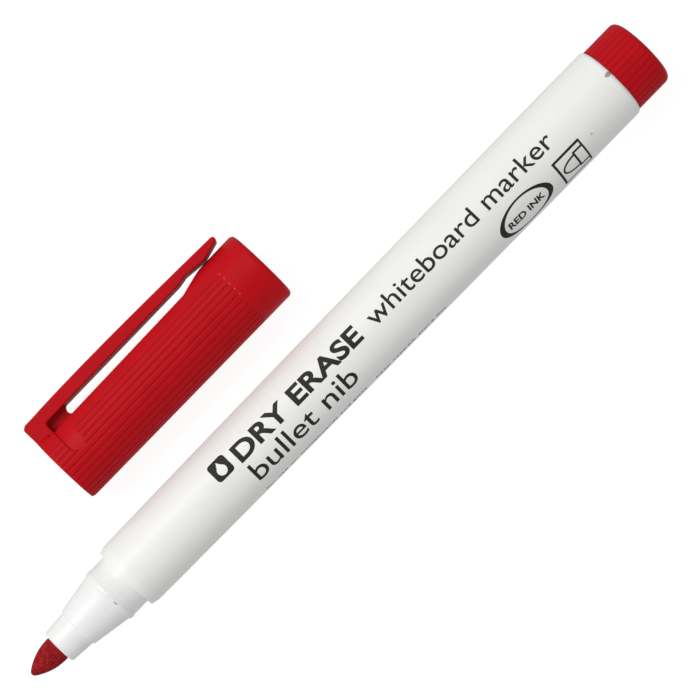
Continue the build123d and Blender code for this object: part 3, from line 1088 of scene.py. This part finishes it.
def wall_radius(x):
    """Radius of the finished barrel along the pen."""
    if x > straight_front:
        return barrel_radius - print_room
    share = (x - shoulder) / (straight_front - shoulder)
    stops = list(zip(barrel_taper, barrel_taper[1:]))
    (s0, r0), (s1, r1) = next(pair for pair in stops if share <= pair[1][0])
    rise = lerp((r0, r1), (share - s0) / (s1 - s0))
    return lerp((nose_radii[2], barrel_radius), rise) - print_room


def wrapped(name, meshes, thickness, material):
    """Bends flat print round the barrel: x runs along the pen and y up from the top line."""
    edit = bmesh.new()
    for mesh in meshes:
        edit.from_mesh(mesh)
    step = 0.25
    heights = [v.co.y for v in edit.verts]
    for k in range(int(min(heights) / step) - 1, int(max(heights) / step) + 2):
        geometry = [*edit.verts, *edit.edges, *edit.faces]
        bmesh.ops.bisect_plane(edit, geom=geometry, plane_co=(0, k * step, 0), plane_no=(0, 1, 0), dist=1e-5)
    bmesh.ops.remove_doubles(edit, verts=edit.verts, dist=1e-4)
    raised = bmesh.ops.extrude_face_region(edit, geom=edit.faces[:], use_keep_orig=True)
    tops = {v for v in raised["geom"] if isinstance(v, bmesh.types.BMVert)}
    place = pen_place()
    for vertex in edit.verts:
        x, y, z = vertex.co
        base = wall_radius(x)
        radius = base + (thickness if vertex in tops else -print_depth)
        angle = y / base
        vertex.co = place @ Vector((x, radius * sin(angle), radius * cos(angle)))
    bmesh.ops.recalc_face_normals(edit, faces=edit.faces)
    mesh = bpy.data.meshes.new(name)
    edit.to_mesh(mesh)
    edit.free()
    return give(new_piece(name, mesh, material, 40), "pen", "barrel_plastic")


def oval(centre, half_width, half_height, steps=72):
    turns = [2 * pi * k / steps for k in range(steps)]
    return [(centre[0] + half_width * cos(turn), centre[1] + half_height * sin(turn)) for turn in turns]


def drop_loop(centre, size):
    """Outline of an ink drop, pointing up."""
    body = arc((centre[0], centre[1] - 0.12 * size), 0.36 * size, 155, 385, 24)
    return [*body, (centre[0] + 0.17 * size, centre[1] + 0.22 * size), (centre[0], centre[1] + 0.52 * size),
            (centre[0] - 0.17 * size, centre[1] + 0.22 * size)]


def bullet_loop(root, centre, length, half, line):
    """Outline of a bullet nib that points to the front, drawn as one line of even width."""
    outer = arc((0, 0), 1.0, 90, 270, 20)
    loop = [(root + x * length, centre + y * half) for x, y in outer]
    return loop + [(root + x * (length - line), centre + y * (half - line)) for x, y in reversed(outer)]


def box_loop(x_span, y_span, corner=0.0):
    if corner == 0:
        (left, right), (low, high) = x_span, y_span
        return [(left, low), (right, low), (right, high), (left, high)]
    return rounded([(x_span[0], y_span[0], corner), (x_span[1], y_span[0], corner),
                    (x_span[1], y_span[1], corner), (x_span[0], y_span[1], corner)], True, 0.0)


# ---------------------------------------------------------------------------------------------
# Operators


class MARKER_OT_barrel(bpy.types.Operator):
    """Tapered barrel with its stepped nose, bore and guide ribs"""
    bl_idname = "marker.barrel"
    bl_label = "Barrel"

    def execute(self, context):
        material = white_barrel(context.scene.marker_colours)
        straight_radius = wall_radius(barrel_rear)
        stations = [shoulder + (straight_front - shoulder) * k / taper_steps for k in range(1, taper_steps)]
        outline = rounded([
            (barrel_front, lip_bore, 0.08), (barrel_front, nose_radii[0] - print_room, 0.14),
            (nose_rear, nose_radii[1] - print_room, 0.25), *((x, wall_radius(x)) for x in stations),
            (straight_front, straight_radius), (barrel_rear, straight_radius, 0.7),
            (barrel_rear, bore_radii[1], 0.12),
            (lip_rear, bore_radii[0]), (lip_rear, lip_bore),
        ], True)
        barrel = lathe("barrel_tube", outline, pen_place(), material, True, 192)
        give(barrel, "pen", "barrel_plastic", "barrel")
        ribs = rib_tree(material, guide_count, 45.0, guide_width, *barrel_ribs, fibre_front + 3,
                        fibre_rear - 2)
        give(grown("barrel_guides", ribs, pen_place()), "pen", "barrel_plastic")
        return {"FINISHED"}


class MARKER_OT_nose(bpy.types.Operator):
    """White nose that holds the nib: sleeve, cone, snap bead and the seat that the cap seals on"""
    bl_idname = "marker.nose"
    bl_label = "Nose"

    def execute(self, context):
        material = white_nose(context.scene.marker_colours)
        bead_middle = (bead_span[0] + bead_span[1]) / 2
        bead = through((bead_span[0], bead_foot), (bead_middle, bead_radius), (bead_span[1], seat_radius), 8)
        outline = rounded([
            (sleeve_front, nib_bore, 0.06), (sleeve_front, sleeve_radii[0], 0.35),
            (sleeve_rear, sleeve_radii[1], 0.05), (cone_front, cone_radii[0], 0.06),
            (bead_span[0] - 0.04, cone_radii[1]), *bead, (barrel_front + 0.02, seat_radius),
            (barrel_front + 0.02, neck_radius), (flange_front, neck_radius), (flange_front, flange_radius),
            (tail_front, tail_radius), (holder_rear, tail_radius, 0.2), (holder_rear, chamber_radius),
            (chamber_front + 1, chamber_radius), (chamber_front, nib_bore),
        ], True)
        nose = lathe("nose_holder", outline, pen_place(), material, True, 160, 24)
        give(nose, "pen", "holder_plastic", "nib_holder")
        ribs = rib_tree(material, guide_count, 0.0, guide_width, nib_bore, chamber_radius + 0.2,
                        chamber_front + 0.2, holder_rear - 0.1)
        give(grown("nose_guides", ribs, pen_place()), "pen", "holder_plastic")
        return {"FINISHED"}


class MARKER_OT_nib(bpy.types.Operator):
    """Bullet nib of ink-soaked fibre, with a grain that stands in and out"""
    bl_idname = "marker.nib"
    bl_label = "Nib"

    def execute(self, context):
        material = soaked_felt(context.scene.marker_colours)
        drop = nib_curve - nib_radius
        start = nib_point_round + sqrt((nib_curve - nib_point_round) ** 2 - drop ** 2)
        lean = degrees(atan2(drop, start - nib_point_round))
        point = arc((nib_point_round, 0), nib_point_round, 180, 180 - lean, 12)
        side = arc((start, -drop), nib_curve, 180 - lean, 90, 70)
        tail = [(start + 0.25, nib_radius), (sleeve_front + 0.1, nib_radius), (sleeve_front + 2, nib_radius),
                (nib_rear - 0.5, nib_radius), (nib_rear, nib_radius - 0.5), (nib_rear, 0)]
        outline = [(0, 0), *point[1:], *side[1:], *tail]
        nib = lathe("felt_nib", outline, pen_place(), material, False, 128, 60)
        store(nib.data, "along", "FLOAT", [v.co.x / MM - tip_x for v in nib.data.vertices])
        grain_tree(material, context.scene.marker_sizes.felt_grain, 3.0).applied(nib)
        smooth_faces(nib.data, 60)
        give(nib, "pen", "nib_felt", "nib")
        return {"FINISHED"}


class MARKER_OT_reservoir(bpy.types.Operator):
    """Bundle of ink-soaked strands in its clear film"""
    bl_idname = "marker.reservoir"
    bl_label = "Reservoir"

    def execute(self, context):
        colours = context.scene.marker_colours
        count = context.scene.marker_sizes.strand_count
        tree = strand_tree(ink_strands(colours), count, fibre_front, fibre_rear, fibre_radius, nib_bore,
                           nib_rear + 0.04, 7)
        strands = grown("reservoir_strands", tree, pen_place(), 60)
        give(strands, "pen", "ink_fibre", "reservoir_fibre")
        film = frame["nodes"]["reservoir_film"]
        film.data.materials.clear()
        film.data.materials.append(clear_film())
        return {"FINISHED"}


class MARKER_OT_plug(bpy.types.Operator):
    """Red rear plug with fine grooves round its head"""
    bl_idname = "marker.plug"
    bl_label = "Rear plug"

    def execute(self, context):
        sizes = context.scene.marker_sizes
        material = red_moulding(context.scene.marker_colours, "plug_red", pen_place())
        plug = ribbed("plug_ribbed", *plug_rings(), pen_place(), material, sizes.plug_groove_depth,
                      sizes.plug_groove_width, 0.0, 360.0, pen_length + 1)
        give(plug, "pen", "red_plastic", "rear_plug")
        return {"FINISHED"}


class MARKER_OT_cap(bpy.types.Operator):
    """Ribbed cap with its flat, its recesses and its stepped bore, the web under the clip and the liner"""
    bl_idname = "marker.cap"
    bl_label = "Cap"

    def execute(self, context):
        sizes = context.scene.marker_sizes
        colours = context.scene.marker_colours
        material = red_moulding(colours, "cap_red", cap_place())
        shell = ribbed("cap_ribbed", *cap_rings(), cap_place(), material, sizes.cap_groove_depth,
                       sizes.cap_groove_width, first_cap_groove, last_cap_groove, grooves_end)
        give(shell, "cap", "red_plastic", "cap_shell")
        rear = slot_front + slot_round
        slot = arc((rear, (flat_heights[0] + clip_underside) / 2), slot_round, 100, 260, 14)
        web_outline = [(clip_root - 0.4, clip_foot), (rear, clip_foot), *reversed(slot),
                       (rear, clip_underside + 0.3), (clip_root - 0.4, clip_underside + 0.3)]
        web = slab("clip_web", web_outline, web_half_width, 0.08, cap_place(), material)
        give(web, "cap", "red_plastic")
        back, mouth = liner_span
        floor = back + liner_end_wall
        liner_outline = rounded([
            (back, 0), (back, liner_radius, 0.15), (back + liner_collar, liner_radius, 0.1),
            (back + liner_collar, liner_waist, 0.1), (mouth - liner_collar, liner_waist, 0.1),
            (mouth - liner_collar, liner_radius, 0.1), (mouth, liner_radius, 0.15), (mouth, 3.40, 0.08),
            (mouth - 0.5, liner_bore), (floor, liner_bore, 0.3), (floor, 0),
        ], False)
        liner = lathe("inner_cup", liner_outline, cap_place(), natural_liner(colours), False, 128)
        give(liner, "cap", "liner_plastic", "cap_liner")
        return {"FINISHED"}


class MARKER_OT_clip(bpy.types.Operator):
    """Clip arm that springs from its root on the cap"""
    bl_idname = "marker.clip"
    bl_label = "Clip"

    def execute(self, context):
        material = bpy.data.materials["cap_red"]
        place = cap_place()
        clip = slab("clip_arm", clip_outline(), clip_half_width, clip_edge, place, material)
        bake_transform(clip)
        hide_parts("cap_clip")
        return {"FINISHED"}


class MARKER_OT_print(bpy.types.Operator):
    """Generic print on the barrel: words, an ink drop, a colour oval and a nib pictogram"""
    bl_idname = "marker.print"
    bl_label = "Print"

    def execute(self, context):
        sizes = context.scene.marker_sizes
        material = print_ink(context.scene.marker_colours)
        thickness = sizes.ink_thickness / MM

        def stamp(name, *meshes):
            return wrapped(name, meshes, thickness, material)

        def words(body, weight, x_span, y_span):
            return fitted(flat_text(body, weight), x_span, y_span)

        stamp("print_title", words("DRY ERASE", 0.030, (42.1, 66.65), (-0.68, 2.22)))
        stamp("print_line", words("whiteboard marker", 0.004, (68.75, 105.05), (-0.70, 2.03)))
        stamp("print_note", words("bullet nib", 0.004, (42.1, 62.2), (-4.62, -1.45)))
        drop_frame = box_loop((37.9, 41.0), (-0.43, 2.62), 0.55)
        drop = drop_loop((39.45, 1.05), 2.2)
        stamp("print_drop", flat_shape([drop_frame, drop]))
        centre = (95.6, -4.95)
        ring = [oval(centre, 5.1, 2.75), oval(centre, 4.15, 2.46)]
        stamp("print_colour", flat_shape(ring), words("RED INK", 0.030, (92.15, 99.05), (-5.55, -4.30)))
        outer = box_loop((102.4, 107.75), (-7.65, -2.45))
        inner = box_loop((102.78, 107.45), (-7.38, -2.84))
        ferrule = [(107.45, -3.45), (105.70, -3.45), (105.70, -6.65), (107.45, -6.65), (107.45, -6.33),
                   (106.02, -6.33), (106.02, -3.77), (107.45, -3.77)]
        stamp("print_nib", flat_shape([outer, inner]), flat_shape([ferrule]),
              flat_shape([bullet_loop(105.70, -5.05, 2.62, 1.30, 0.31)]))
        stamp("print_small", words("for use on whiteboards and glass", 0.0, (41.9, 62.0), (-7.95, -7.15)),
              words("keep capped, store flat", 0.0, (64.0, 78.0), (-7.95, -7.15)))
        return {"FINISHED"}


class MARKER_OT_stage(bpy.types.Operator):
    """Pale floor, soft studio light and the camera"""
    bl_idname = "marker.stage"
    bl_label = "Stage"

    def execute(self, context):
        stage = context.scene.marker_stage
        scene = context.scene
        half = floor_size
        corners = [(-half, -half), (half, -half), (half, half), (-half, half)]
        mesh = bpy.data.meshes.new("floor")
        mesh.from_pydata([(x, y, -floor_gap) for x, y in corners], [], [(0, 1, 2, 3)])
        floor = new_piece("floor", mesh, pale_floor())
        floor.visible_diffuse = False
        floor.visible_glossy = False
        world = bpy.data.worlds.new("surroundings")
        scene.world = world
        world.use_nodes = True
        sky = world.node_tree.nodes["Background"]
        sky.inputs["Color"].default_value = (1.0, 1.0, 1.0, 1.0)
        sky.inputs["Strength"].default_value = stage.sky
        target = Vector((view_offset[0], pen_axis.y * MM + view_offset[1], pen_axis.z * MM))
        self.light("key", key_place, target, key_size, stage.key_power)
        camera_data = bpy.data.cameras.new("camera")
        camera_data.lens = camera_data.sensor_width * stage.camera_distance / stage.view_width
        camera_data.clip_start = 0.01
        camera = bpy.data.objects.new("camera", camera_data)
        scene.collection.objects.link(camera)
        back = Vector((-sin(stage.lean_back), -sin(stage.lean_side), 1.0)).normalized()
        slope = stage.pen_slope
        up = Vector((sin(slope), cos(slope), 0))
        right = up.cross(back).normalized()
        up = back.cross(right)
        turn = Matrix((right, up, back)).transposed().to_4x4()
        camera.matrix_world = Matrix.Translation(target + back * stage.camera_distance) @ turn
        scene.camera = camera
        scene.view_settings.view_transform = "Standard"
        return {"FINISHED"}

    def light(self, name, place, target, size, power):
        data = bpy.data.lights.new(name, "AREA")
        data.shape = "DISK"
        data.size = size
        data.energy = power
        lamp = bpy.data.objects.new(name, data)
        bpy.context.scene.collection.objects.link(lamp)
        lamp.location = place
        lamp.rotation_euler = (target - lamp.location).to_track_quat("-Z", "Y").to_euler()


class MARKER_PT_panel(bpy.types.Panel):
    """Settings and build steps of the marker"""
    bl_idname = "MARKER_PT_panel"
    bl_label = "Whiteboard marker"
    bl_space_type = "VIEW_3D"
    bl_region_type = "UI"
    bl_category = "Marker"

    def draw(self, context):
        for group in (context.scene.marker_sizes, context.scene.marker_colours, context.scene.marker_stage):
            box = self.layout.box()
            for name in group.__annotations__:
                box.prop(group, name)
        for operator in OPERATORS:
            self.layout.operator(operator.bl_idname)


OPERATORS = (MARKER_OT_barrel, MARKER_OT_nose, MARKER_OT_nib, MARKER_OT_reservoir, MARKER_OT_plug,
             MARKER_OT_cap, MARKER_OT_clip, MARKER_OT_print, MARKER_OT_stage)
GROUPS = {"marker_sizes": MarkerSizes, "marker_colours": MarkerColours, "marker_stage": MarkerStage}


def register():
    for group in GROUPS.values():
        bpy.utils.register_class(group)
    for name, group in GROUPS.items():
        setattr(bpy.types.Scene, name, PointerProperty(type=group))
    for item in (*OPERATORS, MARKER_PT_panel):
        bpy.utils.register_class(item)


def unregister():
    for item in reversed((*OPERATORS, MARKER_PT_panel)):
        bpy.utils.unregister_class(item)
    for name, group in GROUPS.items():
        delattr(bpy.types.Scene, name)
        bpy.utils.unregister_class(group)


def main():
    register()
    bpy.ops.marker.barrel()
    bpy.ops.marker.nose()
    bpy.ops.marker.nib()
    bpy.ops.marker.reservoir()
    bpy.ops.marker.plug()
    bpy.ops.marker.cap()
    bpy.ops.marker.clip()
    bpy.ops.marker.print()
    bpy.ops.marker.stage()


if __name__ == "__main__":
    main()
